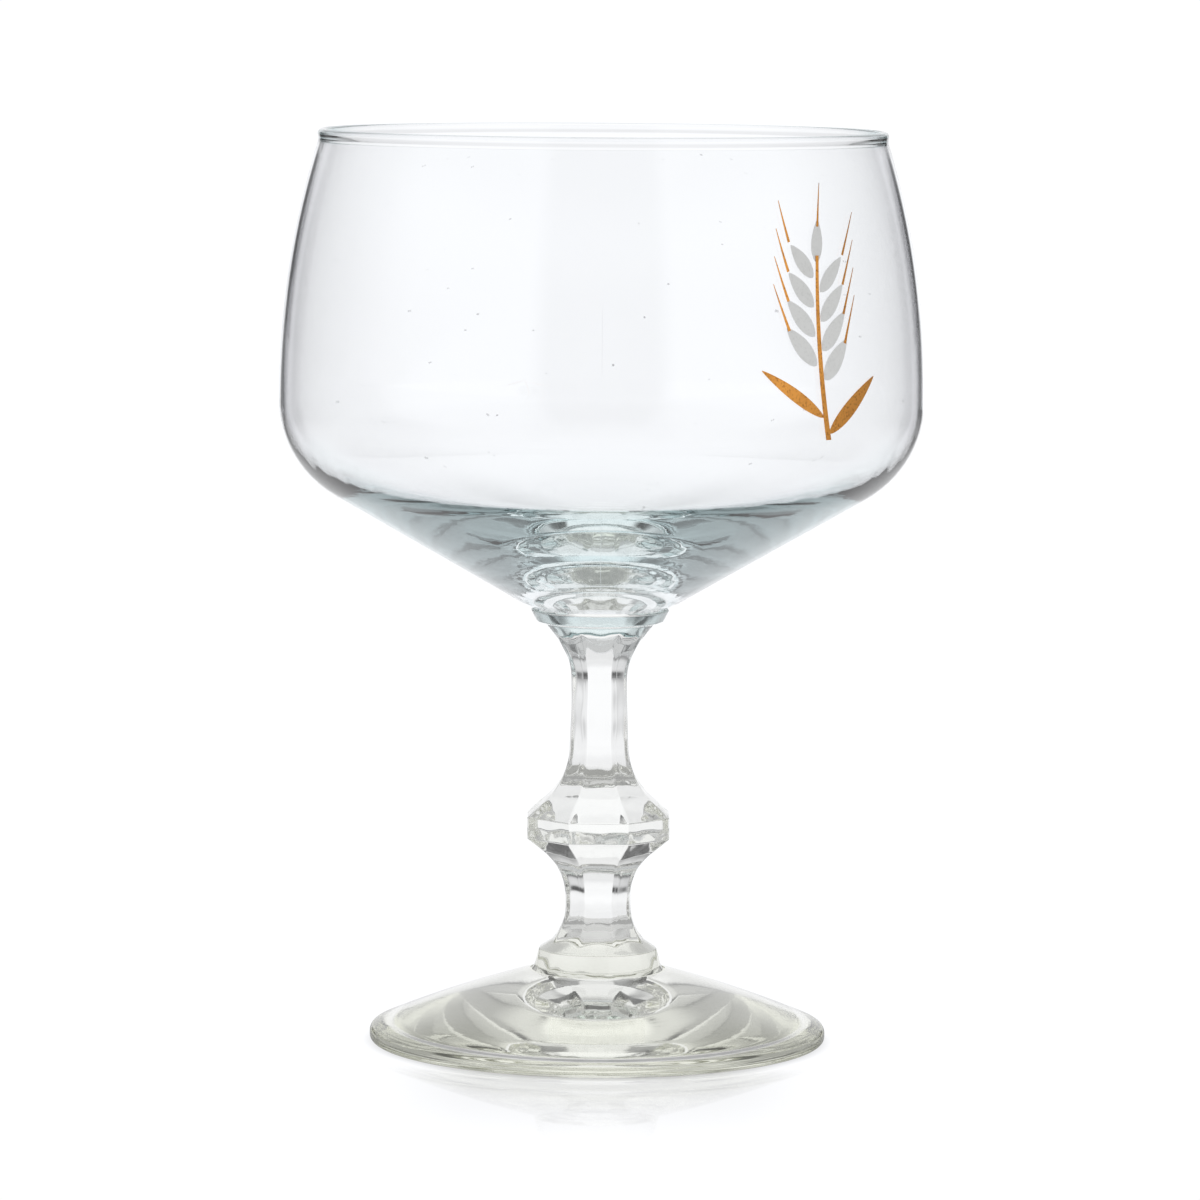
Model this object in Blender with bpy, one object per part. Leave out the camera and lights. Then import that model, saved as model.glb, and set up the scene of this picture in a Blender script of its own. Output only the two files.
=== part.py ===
"""Footed beer goblet of clear glass: a blown bowl, a pressed eight-sided stem and a pressed foot.

Lengths are in metres. Heights are above the table, and radii are from the upright centre line.
Each piece is turned from an outline; the stem's outline is turned in eight steps, and a round
collar is joined to each of its ends.
"""

import math

import bpy

MM = 0.001

# Whole glass, with the steps in a full turn, in a short arc and in a long one
TOTAL_HEIGHT = 150.0 * MM
JOINT_GAP = 0.3 * MM
ROUND_STEPS = 64
ARC_STEPS = 6
LONG_ARC_STEPS = 8
MERGE_DISTANCE = 0.01 * MM

# Bowl, outside
RIM_RADIUS = 46.6 * MM
RIM_BEAD = 0.75 * MM
BEAD_INNER_END = math.radians(200.0)
BEAD_OUTER_END = math.radians(-20.0)
NECK_RADIUS = 46.45 * MM
NECK_DROP = 1.3 * MM
BELLY_RADIUS = 52.8 * MM
BELLY_TOP = 107.0 * MM
BELLY_BOTTOM = 106.0 * MM
SHOULDER_ROUND = 18.0 * MM
CONE_ANGLE = math.radians(30.0)
BOWL_BASE_RADIUS = 11.5 * MM

# Bowl, inside: the floor slopes less than the outside, so the glass thickens towards the stem
WALL = 1.1 * MM
FLOOR_ANGLE = math.radians(24.0)
FLOOR_SHOULDER_ROUND = 16.0 * MM
WELL_ROUND = 16.0 * MM

# Stem, faceted core: the distances from the centre line to the middle of a flat
FACETS = 8
UPPER_SHAFT_FLAT = 4.5 * MM
KNOP_NECK_FLAT = 4.95 * MM
KNOP_FLAT = 11.7 * MM
LOWER_SHAFT_FLAT = 5.35 * MM
KNOP_TOP = 37.4 * MM
KNOP_BOTTOM = 33.9 * MM

# Stem, coves along the core: the height of each corner, and its round
TOP_FLARE_CORNER = 62.3 * MM
TOP_FLARE_COVE = 10.0 * MM
KNOP_UPPER_CORNER = 43.6 * MM
KNOP_UPPER_COVE = 12.0 * MM
KNOP_LOWER_CORNER = 28.4 * MM
KNOP_LOWER_COVE = 9.5 * MM
FOOT_FLARE_CORNER = 19.35 * MM
FOOT_FLARE_COVE = 9.7 * MM

# Stem, core ends, hidden inside the collars: how far the flats lean out from upright on the way
CORE_TOP = 69.4 * MM
TOP_FLARE_LEAN = math.radians(28.0)
CORE_BOTTOM = 14.6 * MM
FOOT_FLARE_LEAN = math.radians(36.0)

# Stem, round collars, whose cones end inside the core
TOP_COLLAR_RADIUS = 11.4 * MM
TOP_COLLAR_LOW_RADIUS = 10.4 * MM
TOP_COLLAR_DEPTH = 2.0 * MM
TOP_LEDGE_RADIUS = 9.0 * MM
TOP_LEDGE_HEIGHT = 69.1 * MM
TOP_CONE_END = 62.9 * MM
FOOT_CONE_END = 18.95 * MM
CONE_END_RADIUS = 4.0 * MM
FOOT_COLLAR_TOP = 15.2 * MM
FOOT_COLLAR_TOP_RADIUS = 9.75 * MM
FOOT_COLLAR_RADIUS = 10.5 * MM
FOOT_COLLAR_LIP = 0.7 * MM
FOOT_LIP_RADIUS = 10.9 * MM

# Foot
FOOT_RADIUS = 37.6 * MM
FOOT_TOP = 11.7 * MM
FOOT_TOP_RADIUS = 11.2 * MM
FOOT_CROWN = 0.45 * MM
FOOT_EDGE = 2.2 * MM
FOOT_EDGE_ROUND = 1.2 * MM
FOOT_SOLE_ROUND = 0.8 * MM
SOLE_OUTER_RADIUS = 36.4 * MM
SOLE_INNER_RADIUS = 34.2 * MM
HOLLOW_EDGE = 0.6 * MM
HOLLOW_EDGE_RADIUS = 33.2 * MM
HOLLOW_HEIGHT = 4.1 * MM

# Glass
BOWL_TINT = (0.93, 0.96, 0.96, 1.0)
STEM_TINT = (0.96, 0.96, 0.93, 1.0)
FOOT_TINT = (0.94, 0.94, 0.89, 1.0)
GLASS_INDEX = 1.52
GLASS_ROUGHNESS = 0.02


def arc_points(centre, radius, start, end, steps):
    """Points along an arc, from one angle to another, with both ends."""
    angles = [start + (end - start) * i / steps for i in range(steps + 1)]
    return [
        (centre[0] + radius * math.cos(a), centre[1] + radius * math.sin(a)) for a in angles
    ]


def bulged_points(start, end, bulge, steps):
    """Points along a shallow arc between two points, standing `bulge` to the left of its chord."""
    run = (end[0] - start[0], end[1] - start[1])
    chord = math.hypot(*run)
    left = (-run[1] / chord, run[0] / chord)
    points = []
    for i in range(steps + 1):
        t = i / steps
        lift = 4.0 * bulge * t * (1.0 - t)
        points.append(
            (start[0] + run[0] * t + left[0] * lift, start[1] + run[1] * t + left[1] * lift)
        )
    return points


def rounded_points(corners, steps):
    """Points of an outline of (radius, height, round) corners, each rounded by an arc where round > 0."""
    points = [corners[0][:2]]
    for before, corner, after in zip(corners, corners[1:], corners[2:]):
        r, z, fillet = corner
        if fillet == 0.0:
            points.append((r, z))
            continue
        into = math.atan2(z - before[1], r - before[0])
        out = math.atan2(after[1] - z, after[0] - r)
        turn = math.remainder(out - into, math.tau)
        reach = fillet * math.tan(abs(turn) / 2.0)
        side = math.copysign(math.pi / 2.0, turn)
        begin = (r - reach * math.cos(into), z - reach * math.sin(into))
        centre = (
            begin[0] + fillet * math.cos(into + side),
            begin[1] + fillet * math.sin(into + side),
        )
        points += arc_points(centre, fillet, into - side, into - side + turn, steps)
    points.append(corners[-1][:2])
    return points


def turned(name, outline, steps, start=0.0):
    """An object turned about the upright axis from an outline that runs down its outer side.

    The outline stands at the angle `start` from the X axis, where the turn begins.
    """
    mesh = bpy.data.meshes.new(name)
    edges = [(i, i + 1) for i in range(len(outline) - 1)]
    points = [(r * math.cos(start), r * math.sin(start), z) for r, z in outline]
    mesh.from_pydata(points, edges, [])
    piece = bpy.data.objects.new(name, mesh)
    bpy.context.scene.collection.objects.link(piece)
    screw = piece.modifiers.new("turn", "SCREW")
    screw.steps = steps
    screw.render_steps = steps
    screw.use_merge_vertices = True
    screw.merge_threshold = MERGE_DISTANCE
    return piece


def glass(name, tint):
    """Clear glass with a faint tint."""
    material = bpy.data.materials.new(name)
    material.use_nodes = True
    shader = material.node_tree.nodes["Principled BSDF"]
    shader.inputs["Base Color"].default_value = tint
    shader.inputs["Metallic"].default_value = 0.0
    shader.inputs["Roughness"].default_value = GLASS_ROUGHNESS
    shader.inputs["IOR"].default_value = GLASS_INDEX
    shader.inputs["Transmission Weight"].default_value = 1.0
    return material


def bowl_base_height():
    """Height of the bowl's flat base, where the outer cone has come in to the base's radius."""
    shoulder_centre = BELLY_RADIUS - SHOULDER_ROUND
    cone_start_radius = shoulder_centre + SHOULDER_ROUND * math.sin(CONE_ANGLE)
    cone_start_height = BELLY_BOTTOM - SHOULDER_ROUND * math.cos(CONE_ANGLE)
    return cone_start_height - (cone_start_radius - BOWL_BASE_RADIUS) * math.tan(CONE_ANGLE)


def wall_arc(belly_radius, neck_radius, up):
    """The barrel wall from belly to neck, upright at the belly, as an arc that leans in to the neck."""
    rise = TOTAL_HEIGHT - NECK_DROP - BELLY_TOP
    lean = belly_radius - neck_radius
    radius = (rise ** 2 + lean ** 2) / (2.0 * lean)
    sweep = math.asin(rise / radius)
    points = arc_points((belly_radius - radius, BELLY_TOP), radius, 0.0, sweep, ARC_STEPS)
    return points if up else points[::-1]


def make_bowl():
    """Blown bowl: up the inside from the well, over the rim's bead and down the outside."""
    inner_belly = BELLY_RADIUS - WALL
    bead_centre = (RIM_RADIUS - RIM_BEAD, TOTAL_HEIGHT - RIM_BEAD)
    floor_down = -math.pi / 2.0 + FLOOR_ANGLE

    floor_centre = (inner_belly - FLOOR_SHOULDER_ROUND, BELLY_BOTTOM)
    floor_arc = arc_points(floor_centre, FLOOR_SHOULDER_ROUND, floor_down, 0.0, ARC_STEPS)
    well_edge = WELL_ROUND * math.sin(FLOOR_ANGLE)
    floor_fall = (floor_arc[0][0] - well_edge) * math.tan(FLOOR_ANGLE)
    well_centre = (0.0, floor_arc[0][1] - floor_fall + WELL_ROUND * math.cos(FLOOR_ANGLE))
    well_arc = arc_points(well_centre, WELL_ROUND, -math.pi / 2.0, floor_down, ARC_STEPS // 2)
    well_arc[0] = (0.0, well_arc[0][1])

    bead_arc = arc_points(bead_centre, RIM_BEAD, BEAD_INNER_END, BEAD_OUTER_END, LONG_ARC_STEPS)
    shoulder_centre = (BELLY_RADIUS - SHOULDER_ROUND, BELLY_BOTTOM)
    cone_down = -math.pi / 2.0 + CONE_ANGLE
    shoulder_arc = arc_points(shoulder_centre, SHOULDER_ROUND, 0.0, cone_down, LONG_ARC_STEPS)

    base = bowl_base_height()
    outline = well_arc + floor_arc
    outline += wall_arc(inner_belly, NECK_RADIUS - WALL, up=True)
    outline += bead_arc
    outline += wall_arc(BELLY_RADIUS, NECK_RADIUS, up=False)
    outline += shoulder_arc
    outline += [(BOWL_BASE_RADIUS, base), (0.0, base)]
    bowl = turned("bowl", outline, ROUND_STEPS)
    bowl.data.materials.append(glass("bowl glass", BOWL_TINT))
    return bowl


def make_core():
    """Eight-sided core of the stem, waisted above and below the knop and flared at both ends."""
    top_flat = UPPER_SHAFT_FLAT + (CORE_TOP - TOP_FLARE_CORNER) * math.tan(TOP_FLARE_LEAN)
    foot_flat = LOWER_SHAFT_FLAT + (FOOT_FLARE_CORNER - CORE_BOTTOM) * math.tan(FOOT_FLARE_LEAN)
    corners = [
        (0.0, CORE_TOP, 0.0),
        (top_flat, CORE_TOP, 0.0),
        (UPPER_SHAFT_FLAT, TOP_FLARE_CORNER, TOP_FLARE_COVE),
        (KNOP_NECK_FLAT, KNOP_UPPER_CORNER, KNOP_UPPER_COVE),
        (KNOP_FLAT, KNOP_TOP, 0.0),
        (KNOP_FLAT, KNOP_BOTTOM, 0.0),
        (LOWER_SHAFT_FLAT, KNOP_LOWER_CORNER, KNOP_LOWER_COVE),
        (LOWER_SHAFT_FLAT, FOOT_FLARE_CORNER, FOOT_FLARE_COVE),
        (foot_flat, CORE_BOTTOM, 0.0),
        (0.0, CORE_BOTTOM, 0.0),
    ]
    half_facet = math.pi / FACETS
    outline = [(r / math.cos(half_facet), z) for r, z in rounded_points(corners, ARC_STEPS)]
    return turned("stem", outline, FACETS, start=half_facet)


def make_collars():
    """The two round collars as bodies of their own, each with a cone that runs into the core."""
    top = bowl_base_height() - JOINT_GAP
    bottom = FOOT_TOP + JOINT_GAP
    top_outline = [
        (0.0, top),
        (TOP_COLLAR_RADIUS, top),
        (TOP_COLLAR_LOW_RADIUS, top - TOP_COLLAR_DEPTH),
        (TOP_LEDGE_RADIUS, TOP_LEDGE_HEIGHT),
        (CONE_END_RADIUS, TOP_CONE_END),
        (0.0, TOP_CONE_END),
    ]
    foot_outline = [
        (0.0, FOOT_CONE_END),
        (CONE_END_RADIUS, FOOT_CONE_END),
        (FOOT_COLLAR_TOP_RADIUS, FOOT_COLLAR_TOP),
        (FOOT_COLLAR_RADIUS, bottom + FOOT_COLLAR_LIP),
        (FOOT_LIP_RADIUS, bottom),
        (0.0, bottom),
    ]
    return [
        turned("top_collar", top_outline, ROUND_STEPS),
        turned("foot_collar", foot_outline, ROUND_STEPS),
    ]


def make_stem():
    """Pressed stem: the faceted core with a round collar joined to each end."""
    stem = make_core()
    for collar in make_collars():
        join = stem.modifiers.new(collar.name, "BOOLEAN")
        join.operation = "UNION"
        join.solver = "EXACT"
        join.object = collar
        collar.hide_render = True
        collar.display_type = "WIRE"
    stem.data.materials.append(glass("stem glass", STEM_TINT))
    return stem


def make_foot():
    """Pressed foot: a crowned top, a rounded edge, a standing ring and a hollow underside."""
    crown_start = (FOOT_TOP_RADIUS, FOOT_TOP)
    crown_end = (FOOT_RADIUS, FOOT_EDGE)
    crown = bulged_points(crown_start, crown_end, FOOT_CROWN, LONG_ARC_STEPS)
    edge_corners = [
        (*crown[-2], 0.0),
        (*crown[-1], FOOT_EDGE_ROUND),
        (FOOT_RADIUS, FOOT_SOLE_ROUND, 0.0),
        (SOLE_OUTER_RADIUS, 0.0, 0.0),
        (SOLE_INNER_RADIUS, 0.0, 0.0),
        (HOLLOW_EDGE_RADIUS, HOLLOW_EDGE, 0.0),
    ]
    edge = rounded_points(edge_corners, ARC_STEPS)
    hollow_depth = HOLLOW_HEIGHT - HOLLOW_EDGE
    hollow = []
    for i in range(1, ARC_STEPS + 1):
        share = 1.0 - i / ARC_STEPS
        hollow.append((HOLLOW_EDGE_RADIUS * share, HOLLOW_EDGE + hollow_depth * (1.0 - share ** 2)))
    outline = [(0.0, FOOT_TOP)] + crown[:-2] + edge + hollow
    foot = turned("foot", outline, ROUND_STEPS)
    foot.data.materials.append(glass("foot glass", FOOT_TINT))
    return foot


for old in list(bpy.data.objects):
    bpy.data.objects.remove(old, do_unlink=True)

make_bowl()
make_stem()
make_foot()
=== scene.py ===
import math

import bmesh
import bpy
import numpy
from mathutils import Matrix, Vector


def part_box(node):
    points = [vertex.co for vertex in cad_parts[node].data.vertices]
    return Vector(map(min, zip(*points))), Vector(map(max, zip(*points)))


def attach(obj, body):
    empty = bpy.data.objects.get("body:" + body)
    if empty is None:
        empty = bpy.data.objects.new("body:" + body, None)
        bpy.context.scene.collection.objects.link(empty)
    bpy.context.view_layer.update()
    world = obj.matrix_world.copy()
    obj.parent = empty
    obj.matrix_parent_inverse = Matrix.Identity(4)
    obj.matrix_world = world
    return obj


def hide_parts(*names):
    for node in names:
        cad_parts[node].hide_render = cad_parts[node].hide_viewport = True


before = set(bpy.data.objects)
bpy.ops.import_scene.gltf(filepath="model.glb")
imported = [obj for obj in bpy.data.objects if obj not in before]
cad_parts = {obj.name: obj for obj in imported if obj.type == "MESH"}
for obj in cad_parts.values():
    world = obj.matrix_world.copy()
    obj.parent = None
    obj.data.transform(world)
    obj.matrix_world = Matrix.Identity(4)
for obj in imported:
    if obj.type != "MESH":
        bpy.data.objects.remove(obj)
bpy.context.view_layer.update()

# The foot is a pressed disc of faintly yellow soda glass, crowned on top and hollow below.
# It stands on a narrow flat ring, its edge is fire-polished round, and the stem is fused to
# the small flat in its middle.
MM = 0.001
_, foot_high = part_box("foot")
FOOT_RADIUS = foot_high.x
FOOT_TOP = foot_high.z
FOOT_FLAT_RADIUS = 11.2 * MM
FOOT_CROWN = 0.45 * MM
CROWN_WAY = (0.33, 0.94)
CROWN_STEPS = 24
FOOT_EDGE = 2.2 * MM
FOOT_EDGE_ROUND = 1.2 * MM
FOOT_EDGE_STEPS = 8
SOLE_ROUND = 0.8 * MM
SOLE_INNER_RADIUS = 34.2 * MM
HOLLOW_EDGE = 0.6 * MM
HOLLOW_EDGE_RADIUS = 33.2 * MM
HOLLOW_HEIGHT = 4.1 * MM
HOLLOW_STEPS = 24
JOINT_RADIUS = 10.9 * MM
TURN_STEPS = 256
TURN_CREASE = math.radians(40.0)
WELD = 0.001 * MM
GLASS_INDEX = 1.52
EDGE_TINT_START = 0.55
FOOT_TINT = (0.985, 0.984, 0.982, 1.0)
FOOT_EDGE_TINT = (0.5, 0.49, 0.27, 1.0)
TINTED_EDGE_START = 33.0 * MM
TINTED_EDGE_FULL = 36.5 * MM
TINT_ON_CROWN = 0.3
FOOT_RELIEF = 0.004 * MM
TOOL_RINGS = 900.0
FOOT_RIPPLE_SCALE = 110.0
FOOT_RIPPLE_SHARE = 0.6
SCUFF_TOP = 0.15 * MM
SCUFF_FULL = 0.02 * MM
SCUFF_SCALE = 260.0
SCUFF_ROUGHNESS = 0.25
PRESSED_DEPTH_COLOUR = (0.58, 0.63, 0.0, 1.0)
FOOT_DEPTH = 2.6


def arc_points(centre, radius, start, end, steps):
    """Points along an arc, from one angle to another, with both ends."""
    angles = [start + (end - start) * i / steps for i in range(steps + 1)]
    return [(centre[0] + radius * math.cos(a), centre[1] + radius * math.sin(a)) for a in angles]


def rounded_points(corners, steps):
    """An outline of (radius, height, round) corners, each rounded by an arc where round > 0."""
    points = [corners[0][:2]]
    for before, (r, z, fillet), after in zip(corners, corners[1:], corners[2:]):
        if fillet == 0.0:
            points.append((r, z))
            continue
        into = math.atan2(z - before[1], r - before[0])
        out = math.atan2(after[1] - z, after[0] - r)
        turn = math.remainder(out - into, math.tau)
        reach = fillet * math.tan(abs(turn) / 2.0)
        side = math.copysign(math.pi / 2.0, turn)
        begin = (r - reach * math.cos(into), z - reach * math.sin(into))
        aside = into + side
        centre = (begin[0] + fillet * math.cos(aside), begin[1] + fillet * math.sin(aside))
        points += arc_points(centre, fillet, into - side, into - side + turn, steps)
    points.append(corners[-1][:2])
    return points


def turned_piece(name, outline, steps):
    """A closed piece spun about the upright axis from an outline that ends on the axis twice."""
    form = bmesh.new()
    verts = [form.verts.new((r, 0.0, z)) for r, z in outline]
    edges = [form.edges.new(pair) for pair in zip(verts, verts[1:])]
    bmesh.ops.spin(
        form, geom=verts + edges, axis=(0, 0, 1), cent=(0, 0, 0), steps=steps, angle=math.tau
    )
    bmesh.ops.remove_doubles(form, verts=form.verts, dist=WELD)
    bmesh.ops.recalc_face_normals(form, faces=form.faces)
    mesh = bpy.data.meshes.new(name)
    form.to_mesh(mesh)
    form.free()
    mesh.shade_smooth()
    mesh.set_sharp_from_angle(angle=TURN_CREASE)
    piece = bpy.data.objects.new(name, mesh)
    bpy.context.scene.collection.objects.link(piece)
    return piece


def add_node(tree, kind, settings=None, **inputs):
    """A node with its settings, and with its inputs set or linked by name, or by number as _0."""
    made = tree.nodes.new(kind)
    for key, value in (settings or {}).items():
        setattr(made, key, value)
    for key, value in inputs.items():
        label = int(key[1:]) if key[1:].isdigit() else key.replace("_", " ")
        socket = made.inputs[label]
        if isinstance(value, bpy.types.NodeSocket):
            tree.links.new(value, socket)
        else:
            socket.default_value = value
    return made


def maths(tree, operation, *values):
    """The result of a Math node on sockets or plain numbers."""
    made = add_node(tree, "ShaderNodeMath", {"operation": operation})
    for socket, value in zip(made.inputs, values):
        if isinstance(value, bpy.types.NodeSocket):
            tree.links.new(value, socket)
        else:
            socket.default_value = value
    return made.outputs[0]


def ease(tree, value, start, end):
    """A smooth step from 0 where the value is at start to 1 where it is at end."""
    made = add_node(
        tree, "ShaderNodeMapRange", {"interpolation_type": "SMOOTHSTEP"},
        Value=value, From_Min=start, From_Max=end,
    )
    return made.outputs["Result"]


def blend(tree, share, first, second):
    """The colour between two colours, as sockets or plain values, by a share from 0 to 1."""
    made = add_node(tree, "ShaderNodeMix", {"data_type": "RGBA"}, _0=share, _6=first, _7=second)
    return made.outputs[2]


def clear_glass(name, tint, edge_tint, depth_colour, depth_density):
    """Clear glass, tinted faintly at its skin, more where it is seen edge on, and by its depth.
    Where the faces' "fused" value is 1, two pieces were fused hot and light passes straight on."""
    material = bpy.data.materials.new(name)
    material.use_nodes = True
    tree = material.node_tree
    shader = tree.nodes["Principled BSDF"]
    shader.inputs["Roughness"].default_value = 0.0
    shader.inputs["IOR"].default_value = GLASS_INDEX
    shader.inputs["Transmission Weight"].default_value = 1.0
    facing = add_node(tree, "ShaderNodeLayerWeight", Blend=0.5).outputs["Facing"]
    skin_tint = blend(tree, ease(tree, facing, EDGE_TINT_START, 1.0), tint, edge_tint)
    tree.links.new(skin_tint, shader.inputs["Base Color"])
    through = add_node(tree, "ShaderNodeBsdfTransparent")
    fused = add_node(tree, "ShaderNodeAttribute", {"attribute_name": "fused"})
    skin = add_node(
        tree, "ShaderNodeMixShader",
        _0=fused.outputs["Fac"], _1=shader.outputs[0], _2=through.outputs[0],
    )
    depth = add_node(tree, "ShaderNodeVolumeAbsorption", Color=depth_colour, Density=depth_density)
    out = tree.nodes["Material Output"]
    tree.links.new(skin.outputs[0], out.inputs["Surface"])
    tree.links.new(depth.outputs[0], out.inputs["Volume"])
    return material


def fuse(piece, heights):
    """Marks the flat faces of a piece at some heights as fused to the next piece."""
    marks = piece.data.attributes.new("fused", "FLOAT", "FACE")
    for face in piece.data.polygons:
        gap = min(abs(face.center.z - height) for height in heights)
        is_level = abs(face.normal.z) > 0.99
        if is_level and gap < 0.01 * MM:
            marks.data[face.index].value = 1.0


crown = []
for i in range(CROWN_STEPS + 1):
    t = i / CROWN_STEPS
    lift = 4.0 * FOOT_CROWN * t * (1.0 - t)
    crown.append((
        FOOT_FLAT_RADIUS + (FOOT_RADIUS - FOOT_FLAT_RADIUS) * t + CROWN_WAY[0] * lift,
        FOOT_TOP + (FOOT_EDGE - FOOT_TOP) * t + CROWN_WAY[1] * lift,
    ))
edge = rounded_points([
    (*crown[-3], 0.0),
    (*crown[-1], FOOT_EDGE_ROUND),
    (FOOT_RADIUS, 0.0, SOLE_ROUND),
    (SOLE_INNER_RADIUS, 0.0, 0.0),
    (HOLLOW_EDGE_RADIUS, HOLLOW_EDGE, 0.0),
], FOOT_EDGE_STEPS)
hollow = []
for i in range(1, HOLLOW_STEPS + 1):
    r = HOLLOW_EDGE_RADIUS * (1.0 - i / HOLLOW_STEPS)
    rise = 1.0 - (r / HOLLOW_EDGE_RADIUS) ** 2
    hollow.append((r, HOLLOW_EDGE + (HOLLOW_HEIGHT - HOLLOW_EDGE) * rise))
joint = [(0.0, FOOT_TOP), (JOINT_RADIUS, FOOT_TOP)]
foot = turned_piece("foot_glass", joint + crown[:-3] + edge + hollow, TURN_STEPS)
foot_glass = clear_glass(
    "foot glass", FOOT_TINT, FOOT_EDGE_TINT, PRESSED_DEPTH_COLOUR, FOOT_DEPTH
)
tree = foot_glass.node_tree
shader = tree.nodes["Principled BSDF"]
place = add_node(tree, "ShaderNodeTexCoord").outputs["Object"]
spot = add_node(tree, "ShaderNodeSeparateXYZ", Vector=place).outputs
square_x = maths(tree, "POWER", spot["X"], 2.0)
square_y = maths(tree, "POWER", spot["Y"], 2.0)
reach = maths(tree, "SQRT", maths(tree, "ADD", square_x, square_y))
skin_tint = shader.inputs["Base Color"].links[0].from_node
edge_on = skin_tint.inputs[0].links[0].from_socket
at_edge = ease(tree, reach, TINTED_EDGE_START, TINTED_EDGE_FULL)
at_edge = maths(tree, "MULTIPLY_ADD", at_edge, 1.0 - TINT_ON_CROWN, TINT_ON_CROWN)
tree.links.new(maths(tree, "MULTIPLY", edge_on, at_edge), skin_tint.inputs[0])
ring_place = add_node(
    tree, "ShaderNodeCombineXYZ",
    X=maths(tree, "MULTIPLY", reach, TOOL_RINGS),
    Y=maths(tree, "ARCTAN2", spot["X"], spot["Y"]),
).outputs[0]
rings = add_node(
    tree, "ShaderNodeTexNoise", {"noise_dimensions": "2D"},
    Vector=ring_place, Scale=1.0, Detail=3.0,
).outputs["Fac"]
ripple = add_node(tree, "ShaderNodeTexNoise", Vector=place, Scale=FOOT_RIPPLE_SCALE, Detail=0.0)
relief = maths(tree, "MULTIPLY_ADD", ripple.outputs["Fac"], FOOT_RIPPLE_SHARE, rings)
bump = add_node(tree, "ShaderNodeBump", Height=relief, Strength=1.0, Distance=FOOT_RELIEF)
tree.links.new(bump.outputs[0], shader.inputs["Normal"])
scuffs = add_node(tree, "ShaderNodeTexNoise", Vector=place, Scale=SCUFF_SCALE, Detail=2.0)
scuffs = ease(tree, scuffs.outputs["Fac"], 0.45, 0.65)
worn = maths(tree, "MULTIPLY", ease(tree, spot["Z"], SCUFF_TOP, SCUFF_FULL), scuffs)
tree.links.new(maths(tree, "MULTIPLY", worn, SCUFF_ROUGHNESS), shader.inputs["Roughness"])
foot.data.materials.append(foot_glass)
fuse(foot, [FOOT_TOP])
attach(foot, "root")
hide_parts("foot")

# The stem is pressed in a two-part mould: eight flats, waisted above and below a knop, that run
# out in scallops into a round collar at each end. Each section follows one rule: the flats or the
# round collar, whichever stands farther out, with a mould seam and the ripple of pressed glass.
_, stem_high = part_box("stem")
bowl_low, bowl_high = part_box("bowl")
FUSED_GAP = 0.02 * MM
STEM_TOP = bowl_low.z - FUSED_GAP
STEM_BOTTOM = FOOT_TOP + FUSED_GAP
FACETS = 8
UPPER_SHAFT_FLAT = 4.5 * MM
UPPER_SHAFT_TOP = 62.29 * MM
UPPER_WAIST_ROUND = 10.0 * MM
UPPER_FLARE = math.tan(math.radians(62.0))
KNOP_NECK_FLAT = 4.95 * MM
KNOP_NECK_HEIGHT = 43.6 * MM
KNOP_NECK_ROUND = 12.0 * MM
KNOP_FLAT = stem_high.x
KNOP_TOP = 37.4 * MM
KNOP_BOTTOM = 33.9 * MM
KNOP_EDGE_ROUND = 0.35 * MM
LOWER_SHAFT_FLAT = 5.35 * MM
LOWER_SHAFT_TOP = 28.4 * MM
LOWER_SHAFT_ROUND = 9.5 * MM
LOWER_SHAFT_BOTTOM = 19.35 * MM
LOWER_WAIST_ROUND = 9.7 * MM
LOWER_FLARE = math.tan(math.radians(54.0))
FLARE_RUN = 10.0 * MM
FLATS_TOP = 69.4 * MM
FLATS_BOTTOM = 14.6 * MM
CORE_RADIUS = 6.0 * MM
COLLAR_SOFTNESS = 0.3
RIPPLE_PEAK = 0.6
RIPPLE_DRAW = 0.5
FLAT_STEPS = 16
COLLAR_STEPS = 10
STEM_STEPS = 256
STEM_CREASE = math.radians(50.0)
UPPER_SCALLOPS_END = 62.5 * MM
KNOP_FINE_TOP = 38.2 * MM
KNOP_FINE_BOTTOM = 33.2 * MM
LOWER_SCALLOPS_START = 19.8 * MM
FINE_STEP = 0.09 * MM
UPPER_SHAFT_STEP = 0.5 * MM
LOWER_SHAFT_STEP = 0.4 * MM
STEM_TINT = (0.982, 0.984, 0.985, 1.0)
STEM_EDGE_TINT = (0.88, 0.88, 0.85, 1.0)
STEM_DEPTH = 1.6
STEM_RELIEF = 0.003 * MM
STEM_RELIEF_SCALE = 260.0
DRAWN_OUT = (1.0, 1.0, 0.35)
HANDLING_SCALE = 90.0
HANDLING_ROUGHNESS = 0.04

flat_outline = rounded_points([
    (UPPER_SHAFT_FLAT + FLARE_RUN, UPPER_SHAFT_TOP + FLARE_RUN * UPPER_FLARE, 0.0),
    (UPPER_SHAFT_FLAT, UPPER_SHAFT_TOP, UPPER_WAIST_ROUND),
    (KNOP_NECK_FLAT, KNOP_NECK_HEIGHT, KNOP_NECK_ROUND),
    (KNOP_FLAT, KNOP_TOP, KNOP_EDGE_ROUND),
    (KNOP_FLAT, KNOP_BOTTOM, KNOP_EDGE_ROUND),
    (LOWER_SHAFT_FLAT, LOWER_SHAFT_TOP, LOWER_SHAFT_ROUND),
    (LOWER_SHAFT_FLAT, LOWER_SHAFT_BOTTOM, LOWER_WAIST_ROUND),
    (LOWER_SHAFT_FLAT + FLARE_RUN, LOWER_SHAFT_BOTTOM - FLARE_RUN * LOWER_FLARE, 0.0),
], FLAT_STEPS)
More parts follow.
